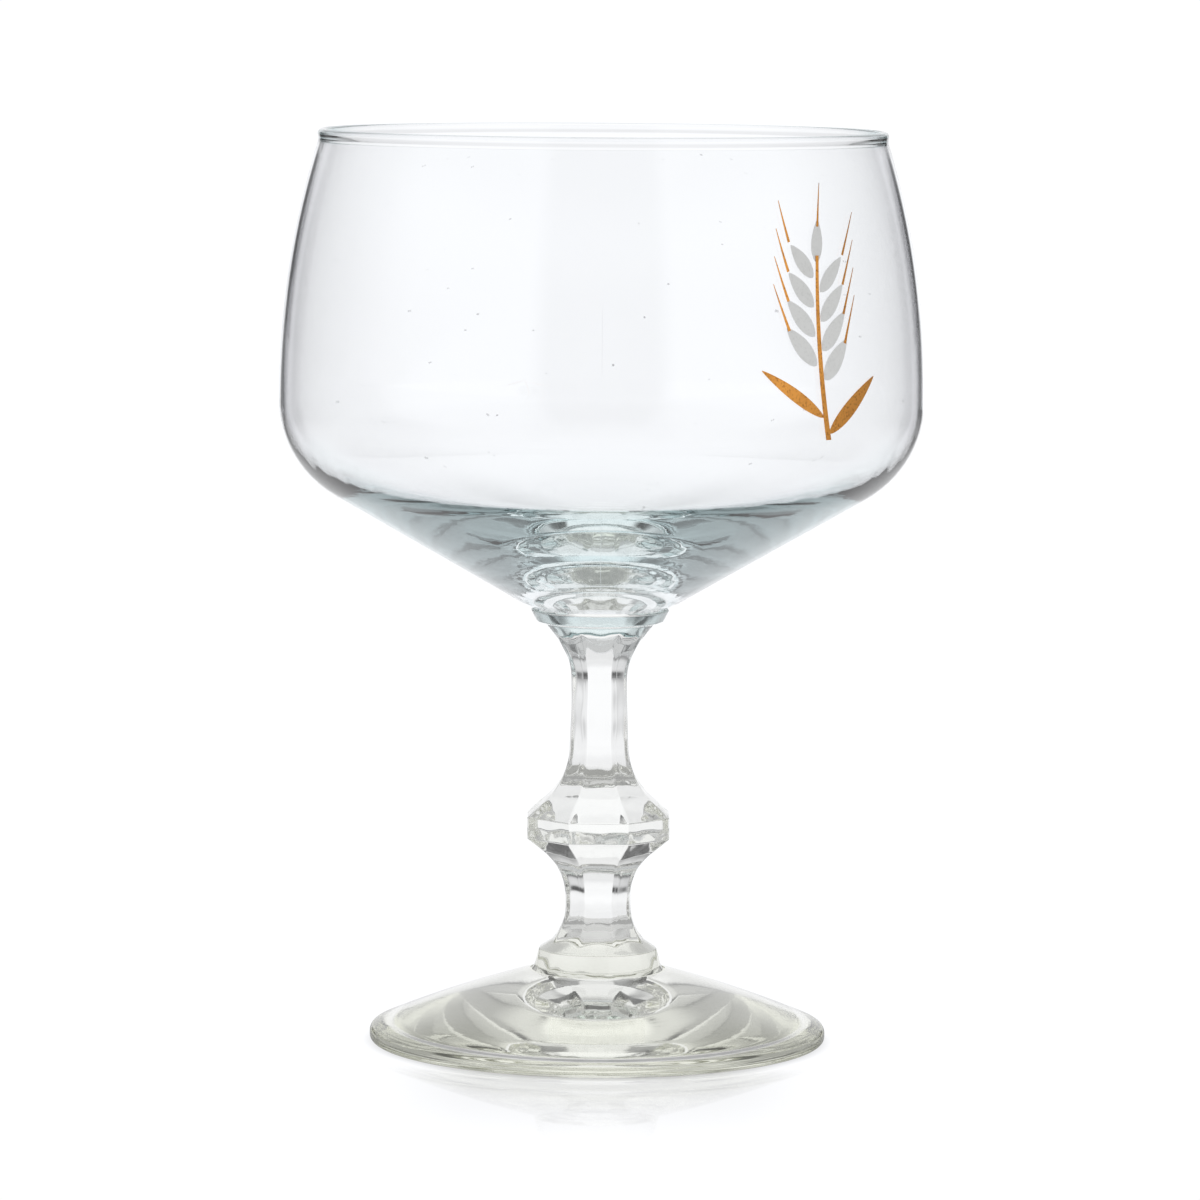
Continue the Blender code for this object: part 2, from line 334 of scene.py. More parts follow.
collar_outline = rounded_points([
    (11.0 * MM, STEM_TOP, 0.0),
    (11.4 * MM, STEM_TOP - 0.4 * MM, 0.25 * MM),
    (10.4 * MM, STEM_TOP - 2.2 * MM, 0.2 * MM),
    (9.0 * MM, 69.1 * MM, 0.3 * MM),
    (4.0 * MM, 62.9 * MM, 0.0),
    (4.0 * MM, 18.96 * MM, 0.0),
    (9.75 * MM, 15.2 * MM, 0.25 * MM),
    (10.5 * MM, STEM_BOTTOM + 0.7 * MM, 0.5 * MM),
    (JOINT_RADIUS, STEM_BOTTOM, 0.0),
], COLLAR_STEPS)


def heights_between(top, bottom, step):
    """Heights from the top down to just above the bottom, about a step apart."""
    count = max(1, round((top - bottom) / step))
    return [top + (bottom - top) * i / count for i in range(count)]


heights = (
    heights_between(STEM_TOP, UPPER_SCALLOPS_END, FINE_STEP)
    + heights_between(UPPER_SCALLOPS_END, KNOP_FINE_TOP, UPPER_SHAFT_STEP)
    + heights_between(KNOP_FINE_TOP, KNOP_FINE_BOTTOM, FINE_STEP)
    + heights_between(KNOP_FINE_BOTTOM, LOWER_SCALLOPS_START, LOWER_SHAFT_STEP)
    + heights_between(LOWER_SCALLOPS_START, STEM_BOTTOM, FINE_STEP)
    + [STEM_BOTTOM]
)


def radius_at(outline, height):
    """The radius of an outline, given from the top down, at a height."""
    rising = outline[::-1]
    return float(numpy.interp(height, [z for _, z in rising], [r for r, _ in rising]))


profile = bpy.data.meshes.new("stem profile")
rings = [(0.0, 0.0, STEM_TOP)] + [(0.0, 0.0, z) for z in heights] + [(0.0, 0.0, STEM_BOTTOM)]
profile.from_pydata(rings, [], [])
flats = profile.attributes.new("flat", "FLOAT", "POINT")
collars = profile.attributes.new("collar", "FLOAT", "POINT")
for i, (_, _, z) in enumerate(rings[1:-1], start=1):
    has_flats = FLATS_BOTTOM < z < FLATS_TOP
    flats.data[i].value = radius_at(flat_outline, z) if has_flats else CORE_RADIUS
    collars.data[i].value = radius_at(collar_outline, z)

tree = bpy.data.node_groups.new("faceted stem", "GeometryNodeTree")
tree.is_modifier = True
SIZES = {
    "Rings": ("NodeSocketInt", len(rings)),
    "Steps": ("NodeSocketInt", STEM_STEPS),
    "Facets": ("NodeSocketFloat", float(FACETS)),
    "Edge Softness": ("NodeSocketFloat", 0.5 * MM),
    "Seam Height": ("NodeSocketFloat", 0.04 * MM),
    "Seam Width": ("NodeSocketFloat", 0.15 * MM),
    "Ripple Height": ("NodeSocketFloat", 0.4 * MM),
    "Ripple Scale": ("NodeSocketFloat", 250.0),
}
tree.interface.new_socket("Profile", in_out="INPUT", socket_type="NodeSocketGeometry")
for label, (kind, value) in SIZES.items():
    tree.interface.new_socket(label, in_out="INPUT", socket_type=kind)
tree.interface.new_socket("Glass", in_out="INPUT", socket_type="NodeSocketMaterial")
tree.interface.new_socket("Stem", in_out="OUTPUT", socket_type="NodeSocketGeometry")
sizes = tree.nodes.new("NodeGroupInput").outputs


def profile_value(name, ring):
    """What the profile's points hold under a name, read for a ring of the grid."""
    stored = add_node(tree, "GeometryNodeInputNamedAttribute", {"data_type": "FLOAT"}, Name=name)
    found = add_node(
        tree, "GeometryNodeSampleIndex", {"data_type": "FLOAT", "domain": "POINT"},
        Geometry=sizes["Profile"], Value=stored.outputs["Attribute"], Index=ring,
    )
    return found.outputs[0]


columns = maths(tree, "ADD", sizes["Steps"], 1.0)
grid = add_node(tree, "GeometryNodeMeshGrid", Vertices_X=sizes["Rings"], Vertices_Y=columns)
index = add_node(tree, "GeometryNodeInputIndex").outputs[0]
ring = maths(tree, "FLOOR", maths(tree, "DIVIDE", maths(tree, "ADD", index, 0.5), columns))
step = maths(tree, "SUBTRACT", index, maths(tree, "MULTIPLY", ring, columns))
angle = maths(tree, "MULTIPLY", maths(tree, "DIVIDE", step, sizes["Steps"]), math.tau)
facing = maths(tree, "ADD", angle, math.pi / 2.0)
pitch = maths(tree, "DIVIDE", math.tau, sizes["Facets"])
half = maths(tree, "DIVIDE", pitch, 2.0)
off = maths(tree, "WRAP", facing, half, maths(tree, "MULTIPLY", half, -1.0))
flat = profile_value("flat", ring)
own = maths(tree, "DIVIDE", flat, maths(tree, "COSINE", off))
next_off = maths(tree, "SUBTRACT", pitch, maths(tree, "ABSOLUTE", off))
next_one = maths(tree, "DIVIDE", flat, maths(tree, "COSINE", next_off))
section = maths(tree, "SMOOTH_MIN", own, next_one, sizes["Edge Softness"])
collar = profile_value("collar", ring)
collar_softness = maths(tree, "MULTIPLY", sizes["Edge Softness"], COLLAR_SOFTNESS)
section = maths(tree, "SMOOTH_MAX", section, collar, collar_softness)
seam_off = maths(tree, "WRAP", facing, math.pi / 2.0, -math.pi / 2.0)
seam_way = maths(tree, "DIVIDE", maths(tree, "MULTIPLY", seam_off, section), sizes["Seam Width"])
seam_fall = maths(tree, "MULTIPLY", maths(tree, "MULTIPLY", seam_way, seam_way), -1.0)
seam = maths(tree, "MULTIPLY", maths(tree, "EXPONENT", seam_fall), sizes["Seam Height"])
off_axis = maths(tree, "GREATER_THAN", section, 0.5 * MM)
seam = maths(tree, "MULTIPLY", seam, off_axis)
place = add_node(tree, "GeometryNodeInputPosition")
ring_place = add_node(
    tree, "GeometryNodeSampleIndex", {"data_type": "FLOAT_VECTOR", "domain": "POINT"},
    Geometry=sizes["Profile"], Value=place.outputs[0], Index=ring,
)
height = add_node(tree, "ShaderNodeSeparateXYZ", Vector=ring_place.outputs[0]).outputs["Z"]
skin_spot = add_node(
    tree, "ShaderNodeCombineXYZ",
    X=maths(tree, "MULTIPLY", section, maths(tree, "COSINE", angle)),
    Y=maths(tree, "MULTIPLY", section, maths(tree, "SINE", angle)),
    Z=maths(tree, "MULTIPLY", height, RIPPLE_DRAW),
).outputs[0]
ripple = add_node(
    tree, "ShaderNodeTexNoise", Vector=skin_spot, Scale=sizes["Ripple Scale"], Detail=1.0
).outputs["Fac"]
ripple = maths(tree, "SUBTRACT", ripple, RIPPLE_PEAK)
ripple = maths(tree, "MULTIPLY", ripple, sizes["Ripple Height"])
relief = maths(tree, "MULTIPLY_ADD", ripple, off_axis, seam)
radius = maths(tree, "MAXIMUM", maths(tree, "ADD", section, relief), 0.0)
spot = add_node(
    tree, "ShaderNodeCombineXYZ",
    X=maths(tree, "MULTIPLY", radius, maths(tree, "COSINE", angle)),
    Y=maths(tree, "MULTIPLY", radius, maths(tree, "SINE", angle)),
    Z=height,
)
wound = add_node(
    tree, "GeometryNodeSetPosition", Geometry=grid.outputs["Mesh"], Position=spot.outputs[0]
)
closed = add_node(tree, "GeometryNodeMergeByDistance", Geometry=wound.outputs[0], Distance=WELD)
single = add_node(tree, "GeometryNodeRealizeInstances", Geometry=closed.outputs[0])
finish = add_node(
    tree, "GeometryNodeSetMaterial", Geometry=single.outputs[0], Material=sizes["Glass"]
)
result = tree.nodes.new("NodeGroupOutput")
tree.links.new(finish.outputs[0], result.inputs[0])


def made_by_tree(name, base, tree, values):
    """A plain mesh object from a node tree run on a base mesh with its inputs set by label."""
    source = bpy.data.objects.new(name + "_source", base)
    bpy.context.scene.collection.objects.link(source)
    modifier = source.modifiers.new("nodes", "NODES")
    modifier.node_group = tree
    for item in tree.interface.items_tree:
        if item.in_out == "INPUT" and item.name in values:
            modifier[item.identifier] = values[item.name]
    bpy.context.view_layer.update()
    graph = bpy.context.evaluated_depsgraph_get()
    mesh = bpy.data.meshes.new_from_object(source.evaluated_get(graph))
    mesh.name = name
    source.modifiers.remove(modifier)
    bpy.data.objects.remove(source)
    piece = bpy.data.objects.new(name, mesh)
    bpy.context.scene.collection.objects.link(piece)
    return piece


stem_glass = clear_glass(
    "stem glass", STEM_TINT, STEM_EDGE_TINT, PRESSED_DEPTH_COLOUR, STEM_DEPTH
)
skin = stem_glass.node_tree
shader = skin.nodes["Principled BSDF"]
place = add_node(skin, "ShaderNodeTexCoord").outputs["Object"]
drawn = add_node(
    skin, "ShaderNodeVectorMath", {"operation": "MULTIPLY"}, _0=place, _1=DRAWN_OUT
).outputs[0]
ripple = add_node(skin, "ShaderNodeTexNoise", Vector=drawn, Scale=STEM_RELIEF_SCALE, Detail=0.0)
bump = add_node(
    skin, "ShaderNodeBump", Height=ripple.outputs["Fac"], Strength=1.0, Distance=STEM_RELIEF
)
skin.links.new(bump.outputs[0], shader.inputs["Normal"])
handling = add_node(skin, "ShaderNodeTexNoise", Vector=place, Scale=HANDLING_SCALE, Detail=3.0)
handled = ease(skin, handling.outputs["Fac"], 0.55, 0.75)
skin.links.new(maths(skin, "MULTIPLY", handled, HANDLING_ROUGHNESS), shader.inputs["Roughness"])
values = {label: value for label, (_, value) in SIZES.items()}
stem = made_by_tree("stem_glass", profile, tree, {**values, "Glass": stem_glass})
form = bmesh.new()
form.from_mesh(stem.data)
bmesh.ops.recalc_face_normals(form, faces=form.faces)
form.to_mesh(stem.data)
form.free()
stem.data.shade_smooth()
stem.data.set_sharp_from_angle(angle=STEM_CREASE)
fuse(stem, [STEM_TOP, STEM_BOTTOM])
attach(stem, "root")
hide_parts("stem")

# The bowl is blown in a mould and cracked off, and its rim is melted to a round bead.
# Its wall is under a millimetre thick, and the floor slopes less than the outside, so the glass
# grows thicker towards the stem.
RIM_HEIGHT = bowl_high.z
RIM_RADIUS = 46.6 * MM
RIM_BEAD = 0.75 * MM
NECK_RADIUS = 46.42 * MM
NECK_HEIGHT = RIM_HEIGHT - 1.6 * MM
BELLY_RADIUS = bowl_high.x
BELLY_TOP = 107.0 * MM
BELLY_BOTTOM = 106.0 * MM
SHOULDER_ROUND = 18.0 * MM
CONE_ANGLE = math.radians(30.0)
BASE_RADIUS = 11.5 * MM
BASE_HEIGHT = bowl_low.z
BELLY_WALL = 0.75 * MM
RIM_WALL = 0.95 * MM
BEAD_BLEND = 2.0 * MM
BOWL_FLOOR_ANGLE = math.radians(24.0)
BOWL_FLOOR_ROUND = 16.0 * MM
WELL_ROUND = 16.0 * MM
WALL_STEPS = 30
SHOULDER_STEPS = 24
CONE_STEPS = 16
WELL_STEPS = 12
NECK_STEPS = 8
BEAD_STEPS = 20
BOWL_TINT = (0.988, 0.992, 0.997, 1.0)
BOWL_EDGE_TINT = (0.945, 0.935, 0.98, 1.0)
RIM_TINT = (0.35, 0.54, 0.55, 1.0)
RIM_TINT_START = RIM_HEIGHT - 2.6 * MM
RIM_TINT_FULL = RIM_HEIGHT - 1.2 * MM
RIM_TINT_AT_SIDES = 0.4
SHOULDER_TINT = (0.88, 0.965, 0.97, 1.0)
SHOULDER_TINT_TOP = BELLY_BOTTOM - 6.0 * MM
SHOULDER_TINT_FULL_TOP = BELLY_BOTTOM - 11.0 * MM
SHOULDER_TINT_FULL_BOTTOM = BELLY_BOTTOM - 15.0 * MM
SHOULDER_TINT_BOTTOM = BELLY_BOTTOM - 20.0 * MM
DUST_TINT = (0.55, 0.55, 0.56, 1.0)
DUST_CELLS = 130.0
DUST_SIZE = 0.03
BOWL_RELIEF = 0.02 * MM
WAVES_ROUND = 7.0
WAVES_UP = 22.0
SMUDGE_SCALE = 55.0
SMUDGE_ROUGHNESS = 0.05
BLOWN_DEPTH_COLOUR = (0.0, 0.54, 0.58, 1.0)
BLOWN_DEPTH = 4.2


def wall_arc_radius(belly_radius, neck_radius):
    """The radius of the barrel wall's arc, upright at the belly and leaning in to the neck."""
    rise = NECK_HEIGHT - BELLY_TOP
    lean = belly_radius - neck_radius
    return (rise ** 2 + lean ** 2) / (2.0 * lean)


def wall_arc(belly_radius, neck_radius):
    """Points up the barrel wall, from the belly to the neck."""
    radius = wall_arc_radius(belly_radius, neck_radius)
    lean_in = math.asin((NECK_HEIGHT - BELLY_TOP) / radius)
    return arc_points((belly_radius - radius, BELLY_TOP), radius, 0.0, lean_in, WALL_STEPS)


def straight_run(start, end, steps):
    """Points along a straight line, from the first step after its start to its end."""
    return [
        (start[0] + (end[0] - start[0]) * i / steps, start[1] + (end[1] - start[1]) * i / steps)
        for i in range(1, steps + 1)
    ]


down = -math.pi / 2.0
inner_belly = BELLY_RADIUS - BELLY_WALL
floor_arc = arc_points(
    (inner_belly - BOWL_FLOOR_ROUND, BELLY_BOTTOM), BOWL_FLOOR_ROUND,
    down + BOWL_FLOOR_ANGLE, 0.0, SHOULDER_STEPS,
)
well_edge = WELL_ROUND * math.sin(BOWL_FLOOR_ANGLE)
well_fall = (floor_arc[0][0] - well_edge) * math.tan(BOWL_FLOOR_ANGLE)
well_centre = (0.0, floor_arc[0][1] - well_fall + WELL_ROUND * math.cos(BOWL_FLOOR_ANGLE))
well_arc = arc_points(well_centre, WELL_ROUND, down, down + BOWL_FLOOR_ANGLE, WELL_STEPS)
well_arc[0] = (0.0, well_arc[0][1])
floor_run = straight_run(well_arc[-1], floor_arc[0], WELL_STEPS)[:-1]
bead_centre = (RIM_RADIUS - RIM_BEAD, RIM_HEIGHT - RIM_BEAD)
inner_wall = wall_arc(inner_belly, NECK_RADIUS - RIM_WALL)
outer_wall = wall_arc(BELLY_RADIUS, NECK_RADIUS)[::-1]
inner_neck = rounded_points([
    (*inner_wall[-3], 0.0),
    (*inner_wall[-1], BEAD_BLEND),
    (bead_centre[0] - RIM_BEAD, bead_centre[1], 0.0),
], NECK_STEPS)
outer_neck = rounded_points([
    (bead_centre[0] + RIM_BEAD, bead_centre[1], 0.0),
    (*outer_wall[0], BEAD_BLEND),
    (*outer_wall[2], 0.0),
], NECK_STEPS)
bead = arc_points(bead_centre, RIM_BEAD, math.pi, 0.0, BEAD_STEPS)
shoulder = arc_points(
    (BELLY_RADIUS - SHOULDER_ROUND, BELLY_BOTTOM), SHOULDER_ROUND,
    0.0, down + CONE_ANGLE, SHOULDER_STEPS,
)
cone_run = straight_run(shoulder[-1], (BASE_RADIUS, BASE_HEIGHT), CONE_STEPS)
bowl_outline = (
    well_arc + floor_run + floor_arc + inner_wall[:-3] + inner_neck[:-1] + bead
    + outer_neck[1:] + outer_wall[3:] + shoulder + cone_run + [(0.0, BASE_HEIGHT)]
)
bowl = turned_piece("bowl_glass", bowl_outline, TURN_STEPS)
bowl_glass = clear_glass(
    "bowl glass", BOWL_TINT, BOWL_EDGE_TINT, BLOWN_DEPTH_COLOUR, BLOWN_DEPTH
)
tree = bowl_glass.node_tree
shader = tree.nodes["Principled BSDF"]
place = add_node(tree, "ShaderNodeTexCoord").outputs["Object"]
spot = add_node(tree, "ShaderNodeSeparateXYZ", Vector=place).outputs
turn = maths(tree, "ARCTAN2", spot["X"], spot["Y"])
skin_tint = shader.inputs["Base Color"].links[0].from_socket
outward = add_node(tree, "ShaderNodeCombineXYZ", X=spot["X"], Y=spot["Y"]).outputs[0]
outward = add_node(
    tree, "ShaderNodeVectorMath", {"operation": "NORMALIZE"}, _0=outward
).outputs[0]
facing = add_node(tree, "ShaderNodeLayerWeight", Blend=0.5, Normal=outward).outputs["Facing"]
edge_on = add_node(tree, "ShaderNodeLayerWeight", Blend=0.5).outputs["Facing"]
rim_sides = maths(tree, "MULTIPLY", ease(tree, facing, 0.55, 0.95), RIM_TINT_AT_SIDES)
rim = maths(
    tree, "MULTIPLY",
    ease(tree, spot["Z"], RIM_TINT_START, RIM_TINT_FULL),
    maths(tree, "MAXIMUM", ease(tree, edge_on, 0.5, 0.95), rim_sides),
)
skin_tint = blend(tree, rim, skin_tint, RIM_TINT)
turned_in = maths(
    tree, "MULTIPLY",
    ease(tree, spot["Z"], SHOULDER_TINT_TOP, SHOULDER_TINT_FULL_TOP),
    ease(tree, spot["Z"], SHOULDER_TINT_BOTTOM, SHOULDER_TINT_FULL_BOTTOM),
)
turned_in = maths(tree, "MULTIPLY", turned_in, ease(tree, facing, 0.5, 0.95))
skin_tint = blend(tree, turned_in, skin_tint, SHOULDER_TINT)
unrolled = add_node(
    tree, "ShaderNodeCombineXYZ", X=maths(tree, "MULTIPLY", turn, BELLY_RADIUS), Y=spot["Z"]
).outputs[0]
cells = add_node(
    tree, "ShaderNodeTexVoronoi", {"voronoi_dimensions": "2D"}, Vector=unrolled, Scale=DUST_CELLS
)
chosen = add_node(tree, "ShaderNodeSeparateColor", Color=cells.outputs["Color"]).outputs
speck_size = maths(tree, "MULTIPLY", maths(tree, "POWER", chosen["Green"], 4.0), DUST_SIZE)
speck = maths(tree, "LESS_THAN", cells.outputs["Distance"], speck_size)
skin_tint = blend(tree, speck, skin_tint, DUST_TINT)
tree.links.new(skin_tint, shader.inputs["Base Color"])
wave_place = add_node(
    tree, "ShaderNodeCombineXYZ",
    X=maths(tree, "MULTIPLY", turn, WAVES_ROUND),
    Y=maths(tree, "MULTIPLY", spot["Z"], WAVES_UP),
).outputs[0]
waves = add_node(
    tree, "ShaderNodeTexNoise", {"noise_dimensions": "2D"},
    Vector=wave_place, Scale=1.0, Detail=1.0,
).outputs["Fac"]
bump = add_node(tree, "ShaderNodeBump", Height=waves, Strength=1.0, Distance=BOWL_RELIEF)
tree.links.new(bump.outputs[0], shader.inputs["Normal"])
touches = add_node(
    tree, "ShaderNodeTexNoise", Vector=place, Scale=SMUDGE_SCALE, Detail=4.0, Roughness=0.6
).outputs["Fac"]
smudge = maths(tree, "MULTIPLY", ease(tree, touches, 0.6, 0.75), SMUDGE_ROUGHNESS)
tree.links.new(smudge, shader.inputs["Roughness"])
bowl.data.materials.append(bowl_glass)
fuse(bowl, [BASE_HEIGHT])
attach(bowl, "root")
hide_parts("bowl")

# The bowl's print is fired on: an ear of barley with pale grey kernels, and a gold stalk, leaves
# and awns laid over them. Each colour is a film a few hundredths of a millimetre thick, wrapped
# on the barrel wall.
PRINT_AZIMUTH = math.radians(-49.5)
PRINT_HEIGHT = 119.5 * MM
FILM = 0.03 * MM
KERNEL_LENGTH = 8.4 * MM
KERNEL_WIDTH = 3.0 * MM
KERNEL_LEAN = math.radians(42.0)
KERNEL_OFFSET = 0.75 * MM
KERNEL_PITCH = 2.3 * MM
KERNEL_TAPER = 0.2
KERNELS = 9
EAR_START = -7.5 * MM
AWN_LENGTH = 8.0 * MM
AWN_WIDTH = 0.55 * MM
AWN_FOOT = 0.9
AWN_TAPER = 0.15
STALK_LENGTH = 29.0 * MM
STALK_WIDTH = 1.1 * MM
STALK_START = -17.0 * MM
LEAF_LENGTH = 15.0 * MM
LEAF_WIDTH = 2.4 * MM
LEAF_START = -16.0 * MM
LEAF_PITCH = 2.6 * MM
LEAF_LEAN = math.radians(55.0)
LEAF_OFFSET = 0.4 * MM
LEAF_TAPER = 0.1
EAR_BEND = 2.2 * MM
EAR_BEND_LENGTH = 18.0 * MM
GOLD = (0.92, 0.41, 0.09, 1.0)
GOLD_WORN = (0.4, 0.15, 0.04, 1.0)
GREY = (0.93, 0.935, 0.91, 1.0)
GREY_WORN = (0.82, 0.825, 0.8, 1.0)
INK_SPECKLE_SCALE = 2600.0
INK_CLOUD_SCALE = 320.0
INK_GRAIN = 0.004 * MM


def film_strip(name, length, width, shape, rows, columns):
    """A closed thin strip along +Y whose half width follows a shape from its foot to its tip."""
    form = bmesh.new()
    sides = []
    for lift in (0.0, FILM):
        side = []
        for i in range(rows + 1):
            half = 0.5 * width * shape(i / rows)
            side.append([
                form.verts.new((half * (2.0 * j / columns - 1.0), length * i / rows, lift))
                for j in range(columns + 1)
            ])
        sides.append(side)
    under, over = sides
    for i in range(rows):
        for j in range(columns):
            form.faces.new((over[i][j], over[i][j + 1], over[i + 1][j + 1], over[i + 1][j]))
            form.faces.new((under[i][j], under[i + 1][j], under[i + 1][j + 1], under[i][j + 1]))
        form.faces.new((under[i][0], over[i][0], over[i + 1][0], under[i + 1][0]))
        form.faces.new((under[i][-1], under[i + 1][-1], over[i + 1][-1], over[i][-1]))
    for j in range(columns):
        form.faces.new((under[0][j], under[0][j + 1], over[0][j + 1], over[0][j]))
        form.faces.new((under[-1][j], over[-1][j], over[-1][j + 1], under[-1][j + 1]))
    bmesh.ops.recalc_face_normals(form, faces=form.faces)
    mesh = bpy.data.meshes.new(name)
    form.to_mesh(mesh)
    form.free()
    return mesh


ear = bpy.data.node_groups.new("printed ear", "GeometryNodeTree")
ear.is_modifier = True
ear.interface.new_socket("Strip", in_out="INPUT", socket_type="NodeSocketGeometry")
ear.interface.new_socket("Count", in_out="INPUT", socket_type="NodeSocketInt")
for label in (
    "Start", "Pitch", "Lean", "Offset", "Upright Last", "Taper", "Lift", "Bend", "Bend Length",
):
    ear.interface.new_socket(label, in_out="INPUT", socket_type="NodeSocketFloat")
ear.interface.new_socket("Ink", in_out="INPUT", socket_type="NodeSocketMaterial")
ear.interface.new_socket("Print", in_out="OUTPUT", socket_type="NodeSocketGeometry")
sizes = ear.nodes.new("NodeGroupInput").outputs
number = add_node(ear, "GeometryNodeInputIndex").outputs[0]
odd = maths(ear, "MODULO", number, 2.0)
side = maths(ear, "SUBTRACT", 1.0, maths(ear, "MULTIPLY", odd, 2.0))
last_number = maths(ear, "SUBTRACT", sizes["Count"], 1.0)
last = maths(ear, "COMPARE", number, last_number, 0.5)
upright = maths(ear, "MULTIPLY", last, sizes["Upright Last"])
side = maths(ear, "MULTIPLY", side, maths(ear, "SUBTRACT", 1.0, upright))
row = add_node(ear, "GeometryNodeMeshLine", Count=sizes["Count"])
along_stalk = maths(ear, "MULTIPLY_ADD", number, sizes["Pitch"], sizes["Start"])
foot_spot = add_node(
    ear, "ShaderNodeCombineXYZ", X=maths(ear, "MULTIPLY", side, sizes["Offset"]), Y=along_stalk
).outputs[0]
row = add_node(ear, "GeometryNodeSetPosition", Geometry=row.outputs[0], Position=foot_spot)
lean = add_node(
    ear, "ShaderNodeCombineXYZ",
    Z=maths(ear, "MULTIPLY", maths(ear, "MULTIPLY", side, sizes["Lean"]), -1.0),
).outputs[0]
lean = add_node(ear, "FunctionNodeEulerToRotation", Euler=lean).outputs[0]
share = maths(ear, "DIVIDE", number, maths(ear, "MAXIMUM", last_number, 1.0))
shrink = maths(ear, "SUBTRACT", 1.0, maths(ear, "MULTIPLY", share, sizes["Taper"]))
scale = add_node(ear, "ShaderNodeCombineXYZ", X=shrink, Y=shrink, Z=1.0).outputs[0]
strip = add_node(ear, "GeometryNodeGeometryToInstance", Geometry=sizes["Strip"]).outputs[0]
strips = add_node(
    ear, "GeometryNodeInstanceOnPoints",
    Points=row.outputs[0], Instance=strip, Rotation=lean, Scale=scale,
)
flat_print = add_node(ear, "GeometryNodeRealizeInstances", Geometry=strips.outputs[0])
place = add_node(ear, "GeometryNodeInputPosition").outputs[0]
spot = add_node(ear, "ShaderNodeSeparateXYZ", Vector=place).outputs
bow = maths(ear, "DIVIDE", spot["Y"], sizes["Bend Length"])
around = maths(ear, "MULTIPLY_ADD", maths(ear, "MULTIPLY", bow, bow), sizes["Bend"], spot["X"])
height = maths(ear, "ADD", spot["Y"], PRINT_HEIGHT)
wall_radius = wall_arc_radius(BELLY_RADIUS, NECK_RADIUS)
above_belly = maths(ear, "SUBTRACT", height, BELLY_TOP)
above_square = maths(ear, "MULTIPLY", above_belly, above_belly)
arc_reach = maths(ear, "SQRT", maths(ear, "SUBTRACT", wall_radius ** 2, above_square))
wall = maths(ear, "ADD", arc_reach, BELLY_RADIUS - wall_radius)
out_to = maths(ear, "ADD", maths(ear, "ADD", wall, spot["Z"]), sizes["Lift"])
turn_to = maths(ear, "ADD", maths(ear, "DIVIDE", around, wall), PRINT_AZIMUTH)
wrapped = add_node(
    ear, "ShaderNodeCombineXYZ",
    X=maths(ear, "MULTIPLY", out_to, maths(ear, "COSINE", turn_to)),
    Y=maths(ear, "MULTIPLY", out_to, maths(ear, "SINE", turn_to)),
    Z=height,
).outputs[0]
wrap = add_node(ear, "GeometryNodeSetPosition", Geometry=flat_print.outputs[0], Position=wrapped)
inked = add_node(ear, "GeometryNodeSetMaterial", Geometry=wrap.outputs[0], Material=sizes["Ink"])
result = ear.nodes.new("NodeGroupOutput")
ear.links.new(inked.outputs[0], result.inputs[0])


def ink(name, colour, worn_colour, metallic, roughness, grain):
    """A fired film, its colour speckled with a worn one and its face faintly grained."""
    material = bpy.data.materials.new(name)
    material.use_nodes = True
    tree = material.node_tree
    shader = tree.nodes["Principled BSDF"]
    place = add_node(tree, "ShaderNodeTexCoord").outputs["Object"]
    speckle = add_node(
        tree, "ShaderNodeTexNoise", Vector=place, Scale=INK_SPECKLE_SCALE, Detail=3.0
    ).outputs["Fac"]
    cloud = add_node(
        tree, "ShaderNodeTexNoise", Vector=place, Scale=INK_CLOUD_SCALE, Detail=2.0
    ).outputs["Fac"]
    worn = maths(tree, "MULTIPLY", ease(tree, speckle, 0.5, 0.72), 0.8)
    worn = maths(tree, "MULTIPLY_ADD", ease(tree, cloud, 0.45, 0.75), 0.35, worn)
    tree.links.new(blend(tree, worn, colour, worn_colour), shader.inputs["Base Color"])
    shader.inputs["Metallic"].default_value = metallic
    uneven = maths(tree, "MULTIPLY_ADD", cloud, 0.25, roughness - 0.12)
    tree.links.new(uneven, shader.inputs["Roughness"])
    bump = add_node(tree, "ShaderNodeBump", Height=speckle, Strength=grain, Distance=INK_GRAIN)
    tree.links.new(bump.outputs[0], shader.inputs["Normal"])
    return material


gold_ink = ink("gold print", GOLD, GOLD_WORN, metallic=1.0, roughness=0.3, grain=0.6)
grey_ink = ink("grey print", GREY, GREY_WORN, metallic=0.0, roughness=0.45, grain=0.4)


def leaf_shape(t):
    """A leaf's share of its full width from foot to tip, widest a little short of half-way."""
    return 0.04 + 0.96 * math.sin(math.pi * t ** 0.8) ** 0.8


def print_colour(name, strip, ink_material, slot, **values):
    """Lays one colour of the print on the bowl and attaches it to the root body."""
    values = {label.replace("_", " "): value for label, value in values.items()}
    values.update({"Bend": EAR_BEND, "Bend Length": EAR_BEND_LENGTH, "Ink": ink_material})
    film = made_by_tree(name, strip, ear, values)
    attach(film, "root")


